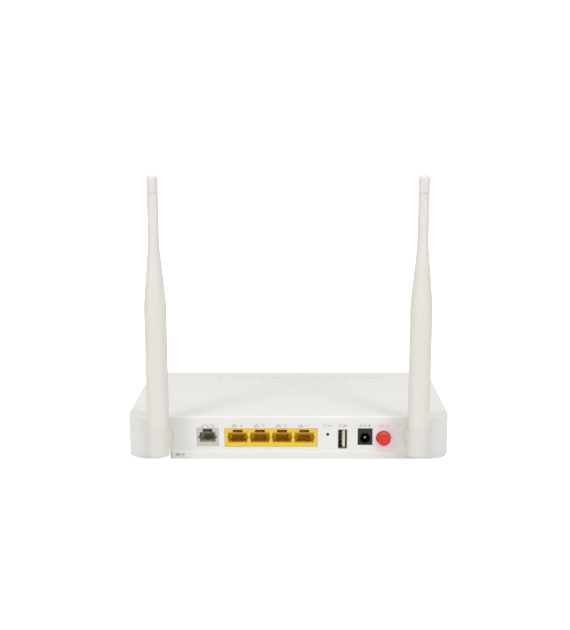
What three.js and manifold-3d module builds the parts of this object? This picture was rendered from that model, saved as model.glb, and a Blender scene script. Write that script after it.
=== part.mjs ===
// Optical network terminal: a flat white casing with its sockets in the rear wall, and two antennas that swivel.
// Millimetres, +Z up, sockets face -Y. The origin is on the table, under the middle of the whole object.
// Inside the group "unit", y is measured forward from the rear wall's outer face and z up from the casing's
// bottom.
import * as THREE from "three";
import { mergeVertices } from "three/addons/utils/BufferGeometryUtils.js";
import Module from "manifold-3d";

const wasm = await Module();
wasm.setup();

// ---------------------------------------------------------------- driving dimensions

const WIDTH = 203.2; // casing
const DEPTH = 139;
const BODY_HEIGHT = 27.5;
const CORNER_RADIUS = 13; // vertical corners
const EDGE = 1; // rounding of the top and bottom edges
const WALL = 2.2;
const FLOOR = 2; // thickness of the casing's bottom and of the cover's top
const FOOT_HEIGHT = 1.5; // how far the rubber feet stand out
const GAP = 0.3; // between pieces that touch in the real object
const SEAM_Z = 23.2; // between casing and cover

const PANEL_HALF = 76; // the socket panel is a shallow recess between the antennas
const PANEL_RECESS = 0.6;
const LEDGE_TOP = 5.1; // strip along the foot of the panel
const SOCKET_FACE = 0.3; // y of the sockets' front faces

const BOARD_BOTTOM = 4.6;
const BOARD_TOP = 6.2;
const BOARD_HALF = 89;
const BOARD_REAR = 2.8;
const BOARD_FRONT = 126;
const SEAT_Z = BOARD_TOP + GAP; // underside of what is soldered to the board

const PIVOT_X = 80.6; // antennas
const PIVOT_Z = 15.6;
const ANTENNA_OUT = 12; // antenna axis behind the rear wall
const ANTENNA_RADIUS = 6.8;
const NECK_RADIUS = 3.15;
const HUB_RADIUS = 7.5;
const SPIGOT_RADIUS = 3.2;
const SPIGOT_BORE = 3.28;
const SPIGOT_SIDES = 32;
const SPIGOT_END = 7;
const ANTENNA_SIDES = 28;
const ANTENNA_BOTTOM = 5.8;
const SLEEVE_BOTTOM = 23.2;
const SLEEVE_TOP = 166.6;
const ANTENNA_TOP = 177.4;

const BAY_LEFT = -88.3; // fibre bay: a pocket in the underside that opens through a notch in the rear wall
const BAY_RIGHT = -74.6;
const NOTCH_LEFT = -81; // the notch is narrower than the bay and shares its right side
const NOTCH_TOP = 8;
const BAY_WALL = 1.5;
const BAY_END = 46;
const BAY_MIDDLE = (BAY_LEFT + BAY_RIGHT) / 2;

const REAR_Y = (ANTENNA_OUT + ANTENNA_RADIUS - DEPTH) / 2; // centres the whole object on the origin

const unit = new THREE.Group();
unit.position.set(0, REAR_Y, FOOT_HEIGHT);

// ---------------------------------------------------------------- helpers

// A closed three.js geometry as a solid, its faces turned outwards.
function solid(geometry) {
  const bare = geometry.index ? geometry.toNonIndexed() : geometry.clone();
  bare.deleteAttribute("normal");
  bare.deleteAttribute("uv");
  const merged = mergeVertices(bare, 1e-3);
  const corners = merged.index.array;
  const faces = [];
  for (let i = 0; i < corners.length; i += 3) {
    const [a, b, c] = corners.slice(i, i + 3);
    if (a !== b && b !== c && c !== a) faces.push(a, b, c);
  }
  const vertProperties = merged.attributes.position.array;
  const made = (order) =>
    new wasm.Manifold(new wasm.Mesh({ numProp: 3, vertProperties, triVerts: new Uint32Array(order) }));
  const first = made(faces);
  return first.volume() > 0 ? first : made(faces.reverse());
}

function geometryOf(body) {
  const mesh = body.getMesh();
  const geometry = new THREE.BufferGeometry();
  geometry.setAttribute("position", new THREE.BufferAttribute(mesh.vertProperties, 3));
  geometry.setIndex(new THREE.BufferAttribute(mesh.triVerts, 1));
  const flat = geometry.toNonIndexed();
  flat.computeVertexNormals();
  return flat;
}

function block([x0, x1], [y0, y1], [z0, z1]) {
  const geometry = new THREE.BoxGeometry(x1 - x0, y1 - y0, z1 - z0);
  return solid(geometry.translate((x0 + x1) / 2, (y0 + y1) / 2, (z0 + z1) / 2));
}

function rodY(radius, [y0, y1], x = 0, z = 0, sides = 20) {
  const geometry = new THREE.CylinderGeometry(radius, radius, y1 - y0, sides);
  return solid(geometry.translate(x, (y0 + y1) / 2, z));
}

function rodZ(radius, [z0, z1], x = 0, y = 0, sides = 16) {
  const geometry = new THREE.CylinderGeometry(radius, radius, z1 - z0, sides).rotateX(Math.PI / 2);
  return solid(geometry.translate(x, y, (z0 + z1) / 2));
}

// A profile of [radius, height] points turned about Z.
function turned(profile, sides = 20) {
  const points = profile.map(([r, z]) => new THREE.Vector2(r, z));
  return solid(new THREE.LatheGeometry(points, sides).rotateX(Math.PI / 2));
}

// A plan outline raised from z0 to z1.
function raised(shape, [z0, z1], curveSegments = 6) {
  const geometry = new THREE.ExtrudeGeometry(shape, { depth: z1 - z0, bevelEnabled: false, curveSegments });
  return solid(geometry.translate(0, 0, z0));
}

// A front outline (x across, y up) carried along +Y from y0 to y1.
function carriedY(shape, [y0, y1]) {
  const geometry = new THREE.ExtrudeGeometry(shape, { depth: y1 - y0, bevelEnabled: false });
  return solid(geometry.rotateX(Math.PI / 2).translate(0, y1, 0));
}

function tube(points, radius, steps) {
  const section = new THREE.Shape().absarc(0, 0, radius, 0, 2 * Math.PI);
  const path = new THREE.CatmullRomCurve3(points.map((p) => new THREE.Vector3(...p)));
  return solid(
    new THREE.ExtrudeGeometry(section, { steps, extrudePath: path, bevelEnabled: false, curveSegments: 3 }),
  );
}

function roundedRectangle(width, depth, radius) {
  const [w, d] = [width / 2 - radius, depth / 2 - radius];
  return new THREE.Shape()
    .absarc(w, d, radius, 0, Math.PI / 2)
    .absarc(-w, d, radius, Math.PI / 2, Math.PI)
    .absarc(-w, -d, radius, Math.PI, 1.5 * Math.PI)
    .absarc(w, -d, radius, 1.5 * Math.PI, 2 * Math.PI);
}

function outline(points) {
  return new THREE.Shape(points.map(([x, y]) => new THREE.Vector2(x, y)));
}

const joined = (...bodies) => bodies.reduce((sum, body) => sum.add(body));
const cut = (body, ...tools) => tools.reduce((rest, tool) => rest.subtract(tool), body);

function finish(color, roughness, metalness = 0) {
  return new THREE.MeshStandardMaterial({ color, roughness, metalness });
}

const MATERIALS = {
  casing: finish(0xecebe7, 0.5),
  antenna: finish(0xe6e3db, 0.5),
  rubber: finish(0x8f8f8c, 0.9),
  steel: finish(0xb8b8b5, 0.35, 1),
  gold: finish(0xd2a44c, 0.3, 1),
  yellow: finish(0xeecb3c, 0.45),
  greyPlastic: finish(0xcdc8ba, 0.5),
  blackPlastic: finish(0x33302e, 0.5),
  paleTongue: finish(0xddddcd, 0.5),
  red: finish(0xe6413b, 0.4),
  board: finish(0x2f6b45, 0.6),
  chip: finish(0x242426, 0.6),
  aluminium: finish(0xa9abad, 0.45, 1),
  green: finish(0x3f9a5a, 0.5),
  ceramic: finish(0xf0efe8, 0.3),
  clear: finish(0xdfe6e8, 0.2),
  capacitor: finish(0x2b3550, 0.4),
  label: finish(0xf4f4f1, 0.6),
};

function add(name, body, material, at = [0, 0, 0], parent = unit) {
  const mesh = new THREE.Mesh(geometryOf(body), material);
  mesh.name = name;
  mesh.position.set(...at);
  parent.add(mesh);
}

// ---------------------------------------------------------------- sockets: where each one sits in the panel

const LAN = { x: -11, width: 58.4, z: [7.7, 19.5], back: 20, pitch: 13.97, count: 4 };
const PHONE = { x: -51, width: 13.5, z: [8.1, 19.8], back: 19 };
const USB = { x: 34.1, width: 5.6, z: [6.5, 18.8], back: 18, sheet: 0.3 };
const DC = { x: 48.3, width: 9.1, z: [8.9, 19.5], back: 15, axisZ: 13.1, bore: 3.1, pin: 1 };
const BUTTON = { x: 60, z: 13.3, radius: 4.4, out: 4.5, hole: 4.8, stem: 1.5, end: 3.5 };
const RESET = { x: 24.8, z: 15.6, hole: 1 };

// Outline of a modular plug's way in, centred on x = 0: plug body, side ears and the latch slot above.
function plugOutline({ bottom, top, half, earHalf, latchHalf, latchTop }) {
  const earBottom = bottom + (top - bottom) * 0.35;
  const earTop = bottom + (top - bottom) * 0.68;
  const right = [
    [half, bottom],
    [half, earBottom],
    [earHalf, earBottom],
    [earHalf, earTop],
    [half, earTop],
    [half, top],
    [latchHalf, top],
    [latchHalf, latchTop],
  ];
  const left = right.map(([x, z]) => [-x, z]).reverse();
  return outline([...right, ...left]);
}

const LAN_PLUG = {
  bottom: 10.3,
  top: 16.8,
  half: 5.95,
  earHalf: 6.45,
  latchHalf: 3.15,
  latchTop: 18.6,
  depth: 14.5,
};
const PHONE_PLUG = {
  bottom: 10.6,
  top: 17,
  half: 4.9,
  earHalf: 5.75,
  latchHalf: 3.1,
  latchTop: 19.2,
  depth: 13.5,
};

// ---------------------------------------------------------------- casing and cover

const SCREWS = [-1, 1].flatMap((side) => [12, BOARD_FRONT].map((y) => [side * 94.5, y]));
const SCREW = { shank: 1.25, end: 21, pilot: 1.5, clearance: 1.8, headRecess: 3, headDepth: 3 };
const BOSS = { radius: 4.2, split: 12 }; // screw bosses meet at this height
const FEET = [-1, 1].flatMap((side) => [22, 122].map((y) => [side * 66, y]));
const FOOT = { radius: 5, depth: 0.8, edge: 0.3 };
const STANDOFFS = [
  [-66, 12],
  [76, 12],
  [-84, 75],
  [84, 75],
  [-84, 119],
  [84, 119],
];
const KEYHOLES = [-50, 50]; // x of the two wall-hanging keyholes
const KEYHOLE_Y = 82;
const LABEL = { width: 62, depth: 40, y: 66 };

const shellOutline = (inset) =>
  roundedRectangle(WIDTH - 2 * inset, DEPTH - 2 * inset, CORNER_RADIUS - inset);

const centredShell = (inset, z) => raised(shellOutline(inset), z).translate([0, DEPTH / 2, 0]);

function roundedBlock() {
  const geometry = new THREE.ExtrudeGeometry(shellOutline(0), {
    depth: BODY_HEIGHT - 2 * EDGE,
    bevelThickness: EDGE,
    bevelSize: EDGE,
    bevelOffset: -EDGE,
    bevelSegments: 2,
    curveSegments: 6,
  });
  return solid(geometry.translate(0, DEPTH / 2, EDGE));
}

const everywhere = [-WIDTH, WIDTH];

function socketCutouts() {
  const through = [-1, WALL + 1];
  const opening = ({ x, width, z }) =>
    block([x - width / 2 - GAP / 2, x + width / 2 + GAP / 2], through, [z[0] - GAP / 2, z[1] + GAP / 2]);
  return [
    opening(LAN),
    opening(PHONE),
    opening(USB),
    opening(DC),
    rodY(BUTTON.hole, through, BUTTON.x, BUTTON.z),
    rodY(RESET.hole, through, RESET.x, RESET.z, 20),
  ];
}

// Notch that lets the fibre out beside the left antenna. Both its sides turn inwards with a round corner.
function fibreNotch() {
  const turn = 2;
  const shape = new THREE.Shape();
  shape.moveTo(NOTCH_LEFT - turn, -1);
  shape.lineTo(BAY_RIGHT + turn, -1);
  shape.lineTo(BAY_RIGHT + turn, 0);
  shape.absarc(BAY_RIGHT + turn, turn, turn, 1.5 * Math.PI, Math.PI, true);
  shape.lineTo(BAY_RIGHT, turn + 1);
  shape.lineTo(NOTCH_LEFT, turn + 1);
  shape.lineTo(NOTCH_LEFT, turn);
  shape.absarc(NOTCH_LEFT - turn, turn, turn, 0, 1.5 * Math.PI, true);
  return raised(shape, [-1, NOTCH_TOP]);
}

// The fibre bay is a moulding of its own, let into the floor. Its roof is low near the rear wall, under the
// antenna's pivot, and higher over the plug.
function fibreBay() {
  const [low, high, step] = [8.4, 12.3, 9];
  const inside = [BAY_LEFT, BAY_RIGHT];
  const outside = [BAY_LEFT - BAY_WALL, BAY_RIGHT + BAY_WALL];
  const adapterHole = block(
    [BAY_MIDDLE - 6.7, BAY_MIDDLE + 6.7],
    [BAY_END - 1, BAY_END + BAY_WALL + 1],
    [FLOOR, FLOOR + 9.9],
  );
  return cut(
    joined(
      block(outside, [WALL + GAP, step + 3], [0, low + BAY_WALL]),
      block(outside, [step - BAY_WALL, BAY_END + BAY_WALL], [0, high + BAY_WALL]),
    ),
    block(inside, [0, step + 1], [-1, low]),
    block(inside, [step, BAY_END], [-1, high]),
    adapterHole,
  );
}

function keyhole(x) {
  const [head, slot, reach] = [3.9, 2.1, 8];
  const through = [-1, FLOOR + 1];
  return joined(
    rodZ(head, through, x, KEYHOLE_Y),
    block([x - slot, x + slot], [KEYHOLE_Y, KEYHOLE_Y + reach], through),
    rodZ(slot, through, x, KEYHOLE_Y + reach),
  );
}

const VENTS = { rows: [30, 104], half: 44, pitch: 8, width: 2, length: 16 };

function vents() {
  const slots = [];
  const [w, l] = [VENTS.width / 2, VENTS.length / 2];
  for (const y of VENTS.rows) {
    for (let x = -VENTS.half; x <= VENTS.half; x += VENTS.pitch) {
      slots.push(block([x - w, x + w], [y - l, y + l], [-1, FLOOR + 1]));
    }
  }
  return slots;
}

function bottomCasing() {
  const bosses = SCREWS.map(([x, y]) => rodZ(BOSS.radius, [FLOOR / 2, BOSS.split], x, y));
  const screwHoles = SCREWS.flatMap(([x, y]) => [
    rodZ(SCREW.clearance, [-1, BOSS.split + 1], x, y, 12),
    rodZ(SCREW.headRecess, [-1, SCREW.headDepth], x, y),
  ]);
  const standoffs = STANDOFFS.map(([x, y]) => rodZ(3, [FLOOR / 2, BOARD_BOTTOM - GAP], x, y, 12));
  const footRecesses = FEET.map(([x, y]) => rodZ(FOOT.radius + GAP, [-1, FOOT.depth], x, y));
  const labelRecess = block(
    [-LABEL.width / 2, LABEL.width / 2],
    [LABEL.y - LABEL.depth / 2, LABEL.y + LABEL.depth / 2],
    [-1, 0.5],
  );
  const panelRecess = block([-PANEL_HALF, PANEL_HALF], [-1, PANEL_RECESS], [LEDGE_TOP, SEAM_Z + 1]);
  const pivots = [-PIVOT_X, PIVOT_X].map((x) => rodY(SPIGOT_BORE, [-1, WALL + 1], x, PIVOT_Z, SPIGOT_SIDES));
  const bayHole = block(
    [BAY_LEFT - BAY_WALL - GAP, BAY_RIGHT + BAY_WALL + GAP],
    [WALL, BAY_END + BAY_WALL + GAP],
    [-1, FLOOR + 1],
  );
  const tray = cut(
    roundedBlock().intersect(block(everywhere, [-1, DEPTH + 1], [-1, SEAM_Z - GAP / 2])),
    centredShell(WALL, [FLOOR, BODY_HEIGHT]),
    panelRecess,
    ...socketCutouts(),
    ...pivots,
  );
  return cut(
    joined(tray, ...bosses, ...standoffs),
    bayHole,
    fibreNotch(),
    labelRecess,
    ...screwHoles,
    ...footRecesses,
    ...KEYHOLES.map(keyhole),
    ...vents(),
  );
}

function topCover() {
  const lipInset = WALL + GAP;
  const lipWidth = 1.2;
  const lipDrop = 2;
  const bosses = SCREWS.map(([x, y]) => rodZ(BOSS.radius, [BOSS.split + GAP, BODY_HEIGHT - FLOOR / 2], x, y));
  const holes = SCREWS.map(([x, y]) => rodZ(SCREW.pilot, [BOSS.split - 1, SCREW.end + 1], x, y, 12));
  const lip = cut(
    centredShell(lipInset, [SEAM_Z - lipDrop, BODY_HEIGHT - FLOOR / 2]),
    centredShell(lipInset + lipWidth, [0, BODY_HEIGHT]),
  );
  const shell = cut(
    roundedBlock().intersect(block(everywhere, [-1, DEPTH + 1], [SEAM_Z + GAP / 2, BODY_HEIGHT + 1])),
    centredShell(lipInset, [0, BODY_HEIGHT - FLOOR]),
  );
  return cut(joined(shell, lip, ...bosses), ...holes);
}

add("bottom_casing", bottomCasing(), MATERIALS.casing);
add("top_cover", topCover(), MATERIALS.casing);
add("fibre_bay", fibreBay(), MATERIALS.casing);

const footBody = turned([
  [0, -FOOT_HEIGHT],
  [FOOT.radius - 0.5, -FOOT_HEIGHT],
  [FOOT.radius, FOOT.edge - FOOT_HEIGHT],
  [FOOT.radius, FOOT.depth - GAP],
  [0, FOOT.depth - GAP],
]);
FEET.forEach(([x, y], i) => add(`foot_${i + 1}`, footBody, MATERIALS.rubber, [x, y, 0]));

function screw() {
  const head = turned([
    [0, 0.7],
    [2.3, 0.7],
    [2.7, 1.2],
    [2.7, 2.6],
    [SCREW.shank, 2.6],
    [SCREW.shank, SCREW.end - 1],
    [0.4, SCREW.end],
    [0, SCREW.end],
  ], 16);
  const arm = (a, b) => block([-a, a], [-b, b], [0, 1.7]);
  return cut(head, arm(1.7, 0.35), arm(0.35, 1.7));
}
SCREWS.forEach(([x, y], i) => add(`screw_${i + 1}`, screw(), MATERIALS.steel, [x, y, 0]));

add(
  "rating_label",
  raised(roundedRectangle(LABEL.width - 2, LABEL.depth - 2, 2), [0.15, 0.4]),
  MATERIALS.label,
  [0, LABEL.y, 0],
);

// ---------------------------------------------------------------- sockets

// A housing on the board, with a collar that fills its cut-out in the wall.
function housing({ x, width, z, back }) {
  const across = [x - width / 2, x + width / 2];
  return joined(
    block(across, [SOCKET_FACE, WALL + 1], z),
    block(across, [WALL + GAP, back], [SEAT_Z, z[1]]),
  );
}

const jackCentres = Array.from(
  { length: LAN.count },
  (_, i) => LAN.x + (i - (LAN.count - 1) / 2) * LAN.pitch,
);

function jackCavity(plug, x) {
  return carriedY(plugOutline(plug), [SOCKET_FACE - 1, SOCKET_FACE + plug.depth]).translate([x, 0, 0]);
}

const lanCavities = jackCentres.map((x) => jackCavity(LAN_PLUG, x));
add("lan_jack_block", cut(housing(LAN), ...lanCavities), MATERIALS.yellow);
add("phone_jack", cut(housing(PHONE), jackCavity(PHONE_PLUG, PHONE.x)), MATERIALS.greyPlastic);

// Spring wires that rise from the floor of the jack to a comb at its back.
function contacts(plug, wires) {
  const pitch = 1.02;
  const floor = plug.bottom + GAP;
  const back = SOCKET_FACE + plug.depth - GAP;
  const front = SOCKET_FACE + 4;
  const [comb, rise] = [2.2, 3];
  const half = (wires * pitch) / 2 + 0.3;
  const run = back - comb + 0.5 - front;
  const slope = Math.atan2(rise, run);
  const wire = (x) => {
    const geometry = new THREE.BoxGeometry(0.45, Math.hypot(run, rise), 0.35).rotateX(slope);
    return solid(geometry.translate(x, front + run / 2, floor + 0.25 + rise / 2));
  };
  const spread = Array.from({ length: wires }, (_, i) => wire((i - (wires - 1) / 2) * pitch));
  return joined(block([-half, half], [back - comb, back], [floor, floor + rise + 1.4]), ...spread);
}
jackCentres.forEach((x, i) => add(`lan_contacts_${i + 1}`, contacts(LAN_PLUG, 8), MATERIALS.gold, [x, 0, 0]));
add("phone_contacts", contacts(PHONE_PLUG, 4), MATERIALS.gold, [PHONE.x, 0, 0]);

const usbHalf = (USB.z[1] - USB.z[0]) / 2;
const usbMiddle = (USB.z[1] + USB.z[0]) / 2;
const usbInside = USB.width / 2 - USB.sheet;

const usbShell = cut(
  block([-USB.width / 2, USB.width / 2], [SOCKET_FACE + 0.3, USB.back], [-usbHalf, usbHalf]),
  block([-usbInside, usbInside], [-1, USB.back + 1], [USB.sheet - usbHalf, usbHalf - USB.sheet]),
);
const usbTongue = joined(
  block([-0.1, 1.65], [SOCKET_FACE + 1.6, USB.back - 2], [-5.5, 5.5]),
  block([GAP - usbInside, usbInside - GAP], [USB.back - 4, USB.back - GAP], [0.7 - usbHalf, usbHalf - 0.7]),
);
add("usb_shell", usbShell, MATERIALS.steel, [USB.x, 0, usbMiddle]);
add("usb_tongue", usbTongue, MATERIALS.paleTongue, [USB.x, 0, usbMiddle]);

const dcBore = cut(
  housing(DC),
  rodY(DC.bore, [-1, 11], DC.x, DC.axisZ),
  rodY(DC.pin + GAP, [10, DC.back + 1], DC.x, DC.axisZ, 20),
);
const dcPin = turned([
  [0, 0],
  [DC.pin, 0],
  [DC.pin, 11.4],
  [DC.pin * 0.7, 12],
  [0, 12],
], 16).rotate([90, 0, 0]);
add("dc_jack_body", dcBore, MATERIALS.blackPlastic);
add("dc_jack_pin", dcPin, MATERIALS.steel, [DC.x, DC.back - 0.5, DC.axisZ]);

// ---------------------------------------------------------------- keys

const switchFront = 8.5;
const buttonCap = turned([
  [0, BUTTON.out],
  [BUTTON.radius - 0.9, BUTTON.out],
  [BUTTON.radius - 0.25, BUTTON.out - 0.3],
  [BUTTON.radius, BUTTON.out - 0.9],
  [BUTTON.radius, -BUTTON.end],
  [0, -BUTTON.end],
]).rotate([90, 0, 0]);
const stem = [-BUTTON.stem, BUTTON.stem];
const buttonStem = block(stem, [BUTTON.end - 0.5, switchFront + 1.5], stem);
add("power_button", joined(buttonCap, buttonStem), MATERIALS.red, [BUTTON.x, 0, BUTTON.z]);

const stemHole = BUTTON.stem + 0.4;
const powerSwitch = cut(
  block([-4.2, 4.2], [switchFront, 22], [SEAT_Z - BUTTON.z, 3.6]),
  block([-stemHole, stemHole], [switchFront - 1, switchFront + 6], [-stemHole, stemHole]),
);
add("power_switch_body", powerSwitch, MATERIALS.blackPlastic, [BUTTON.x, 0, BUTTON.z]);

const resetSwitch = cut(
  block([-3.2, 3.2], [4, 7.6], [SEAT_Z - RESET.z, 3.1]),
  rodY(1.75, [3, 6.4], 0, 0, 20),
);
add("reset_switch_body", resetSwitch, MATERIALS.blackPlastic, [RESET.x, 0, RESET.z]);
add("reset_plunger", rodY(1.45, [2.6, 5.6], 0, 0, 20), MATERIALS.greyPlastic, [RESET.x, 0, RESET.z]);

// ---------------------------------------------------------------- fibre path

const ADAPTER = { half: 6.4, bottom: FLOOR + GAP, height: 9.3, front: BAY_END - 1.5, back: 62 };
const adapterHalfHeight = ADAPTER.height / 2;
const adapterMiddle = ADAPTER.bottom + adapterHalfHeight;
const fibreAdapter = cut(
  block([-ADAPTER.half, ADAPTER.half], [ADAPTER.front, ADAPTER.back], [-adapterHalfHeight, adapterHalfHeight]),
  block([-4.7, 4.7], [ADAPTER.front - 1, ADAPTER.front + 9], [-3.75, 3.75]),
  rodY(1.9, [ADAPTER.front + 8, ADAPTER.back + 1], 0, 0, 20),
);
add("fibre_adapter", fibreAdapter, MATERIALS.green, [BAY_MIDDLE, 0, adapterMiddle]);
const ferruleSleeve = cut(
  rodY(1.6, [ADAPTER.front + 6.5, ADAPTER.back - 3], 0, 0, 20),
  rodY(1.25, [0, ADAPTER.back - 4], 0, 0, 20),
);
add("fibre_ferrule_sleeve", ferruleSleeve, MATERIALS.ceramic, [BAY_MIDDLE, 0, adapterMiddle]);

const TRANSCEIVER_Y = 72;
const transceiver = joined(
  block([-7, 7], [0, 20], [SEAT_Z, 13.5]),
  rodY(2.6, [-4, 1], 0, 10, 24),
);
add("optical_transceiver", transceiver, MATERIALS.aluminium, [BAY_MIDDLE, TRANSCEIVER_Y, 0]);
const pigtail = tube(
  [
    [0, ADAPTER.back + GAP, adapterMiddle],
    [0, ADAPTER.back + 2, adapterMiddle + 0.6],
    [0, TRANSCEIVER_Y - 6, 9.6],
    [0, TRANSCEIVER_Y - 4 - GAP, 10],
  ],
  0.9,
  6,
);
add("fibre_pigtail", pigtail, MATERIALS.yellow, [BAY_MIDDLE, 0, 0]);

// ---------------------------------------------------------------- board and what it carries

const board = raised(
  outline([
    [BAY_RIGHT + 2.1, BOARD_REAR],
    [BOARD_HALF, BOARD_REAR],
    [BOARD_HALF, BOARD_FRONT],
    [-BOARD_HALF, BOARD_FRONT],
    [-BOARD_HALF, ADAPTER.back + 2],
    [BAY_RIGHT + 2.1, ADAPTER.back + 2],
  ]),
  [BOARD_BOTTOM, BOARD_TOP],
);
add("main_board", board, MATERIALS.board);

// A box that stands on the board, by its middle and its size.
const boxed = (width, depth, height) => block([-width / 2, width / 2], [-depth / 2, depth / 2], [0, height]);

const PROCESSOR = { x: 4, y: 70, height: 1.6 };
add("processor", boxed(19, 19, PROCESSOR.height), MATERIALS.chip, [PROCESSOR.x, PROCESSOR.y, SEAT_Z]);

function heatSink() {
  const fins = Array.from({ length: 7 }, (_, i) => {
    const x = (i - 3) * 4.6;
    return block([x - 0.6, x + 0.6], [-15, 15], [1.5, 10]);
  });
  return joined(boxed(30, 30, 2), ...fins);
}
const heatSinkSeat = SEAT_Z + PROCESSOR.height + GAP;
add("heat_sink", heatSink(), MATERIALS.aluminium, [PROCESSOR.x, PROCESSOR.y, heatSinkSeat]);

const wifiShield = cut(boxed(38, 26, 3.2), boxed(37.2, 25.2, 2.8).translate([0, 0, -0.01]));
add("wifi_shield", wifiShield, MATERIALS.steel, [54, 74, SEAT_Z]);
add("memory_chip", boxed(12, 9, 1.2), MATERIALS.chip, [-24, 76, SEAT_Z]);
add("phone_line_chip", boxed(9, 9, 1.2), MATERIALS.chip, [-51, 40, SEAT_Z]);
[-26, 4].forEach((x, i) => {
  add(`lan_transformer_${i + 1}`, boxed(24, 12, 5.5), MATERIALS.chip, [x, 34, SEAT_Z]);
});
add("power_inductor", boxed(12, 12, 6), MATERIALS.chip, [44, 38, SEAT_Z]);

const can = turned([
  [0, 0],
  [4, 0],
  [4, 11.6],
  [3.6, 12],
  [0, 12],
]);
[
  [62, 36],
  [74, 36],
  [74, 48],
].forEach(([x, y], i) => add(`capacitor_${i + 1}`, can, MATERIALS.capacitor, [x, y, SEAT_Z]));

const LIGHTS = { count: 12, pitch: 10, x: 5.4, y: 117.6, barTop: BODY_HEIGHT - FLOOR - GAP };
function lightBar() {
  const half = (LIGHTS.count * LIGHTS.pitch) / 2;
  const legs = Array.from({ length: LIGHTS.count }, (_, i) =>
    rodZ(1.1, [BOARD_TOP + 1.8, LIGHTS.barTop - 1], (i - (LIGHTS.count - 1) / 2) * LIGHTS.pitch, 0, 8),
  );
  return joined(block([-half, half], [-2.5, 2.5], [LIGHTS.barTop - 2, LIGHTS.barTop]), ...legs);
}
add("light_bar", lightBar(), MATERIALS.clear, [LIGHTS.x, LIGHTS.y, 0]);

// ---------------------------------------------------------------- antennas: each in a group at its pivot

const RADIATOR_BOTTOM = 28;
const AXIS_Y = -ANTENNA_OUT;
const up = (z) => z - PIVOT_Z; // height over the casing's bottom to height over the pivot

function antennaBase() {
  const round = 2;
  const profile = [[0, up(ANTENNA_BOTTOM)]];
  for (let i = 0; i <= 3; i++) {
    const angle = (i * Math.PI) / 6;
    profile.push([
      ANTENNA_RADIUS - round + round * Math.sin(angle),
      up(ANTENNA_BOTTOM) + round - round * Math.cos(angle),
    ]);
  }
  profile.push([ANTENNA_RADIUS, up(SLEEVE_BOTTOM) - GAP], [0, up(SLEEVE_BOTTOM) - GAP]);
  const hub = rodY(HUB_RADIUS, [AXIS_Y + 2, -0.4], 0, 0, ANTENNA_SIDES);
  const spigot = rodY(SPIGOT_RADIUS, [-1, SPIGOT_END], 0, 0, SPIGOT_SIDES);
  const collar = rodZ(4, [0, up(SLEEVE_BOTTOM) + 4], 0, AXIS_Y, 20);
  return cut(
    joined(turned(profile, ANTENNA_SIDES).translate([0, AXIS_Y, 0]), hub, spigot, collar),
    rodY(1.4, [AXIS_Y, SPIGOT_END + 1], 0, 0, 12),
    rodZ(1.4, [0, up(SLEEVE_BOTTOM) + 5], 0, AXIS_Y, 12),
    solid(new THREE.SphereGeometry(1.4, 12, 6).translate(0, AXIS_Y, 0)),
  );
}

function antennaSleeve() {
  const outside = [
    [ANTENNA_RADIUS, SLEEVE_BOTTOM],
    [ANTENNA_RADIUS, 96],
    [6.73, 99],
    [6.5, 101.7],
    [3.62, 130.7],
    [3.33, 133.4],
    [3.2, 136],
    [NECK_RADIUS, 139],
    [NECK_RADIUS, SLEEVE_TOP - 0.3],
    [NECK_RADIUS - 0.3, SLEEVE_TOP],
  ];
  const inside = [
    [1.8, SLEEVE_TOP],
    [1.8, 104],
    [4.4, 96],
    [4.4, SLEEVE_BOTTOM],
  ];
  const profile = [...outside, ...inside, outside[0]].map(([r, z]) => [r, up(z)]);
  return turned(profile, ANTENNA_SIDES);
}

function antennaTip() {
  const radius = NECK_RADIUS - 0.05;
  const dome = 2.6;
  const profile = [
    [0, up(SLEEVE_TOP) - 6],
    [1.5, up(SLEEVE_TOP) - 6],
    [1.5, up(SLEEVE_TOP) + 0.7],
    [radius - 0.4, up(SLEEVE_TOP) + 0.3],
    [radius, up(SLEEVE_TOP) + 0.7],
  ];
  for (let i = 0; i <= 4; i++) {
    const angle = (i * Math.PI) / 8;
    profile.push([radius * Math.cos(angle), up(ANTENNA_TOP) - dome + dome * Math.sin(angle)]);
  }
  return turned(profile, ANTENNA_SIDES);
}

const radiator = turned([
  [0, up(RADIATOR_BOTTOM)],
  [0.9, up(RADIATOR_BOTTOM)],
  [0.9, up(40)],
  [3.4, up(40)],
  [3.4, up(92)],
  [0.9, up(92)],
  [0.9, up(156)],
  [0, up(156)],
], 14);

const coax = tube(
  [
    [0, SPIGOT_END - GAP, 0],
    [0, -4, 0],
    [0, AXIS_Y + 1.2, 0],
    [0, AXIS_Y + 0.2, 0.3],
    [0, AXIS_Y, 1.4],
    [0, AXIS_Y, up(RADIATOR_BOTTOM) - GAP],
  ],
  0.7,
  14,
);

const retainer = cut(
  rodY(5, [WALL + 0.35, WALL + 2.2]),
  rodY(SPIGOT_RADIUS + 0.1, [0, 9], 0, 0, SPIGOT_SIDES),
);

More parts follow.
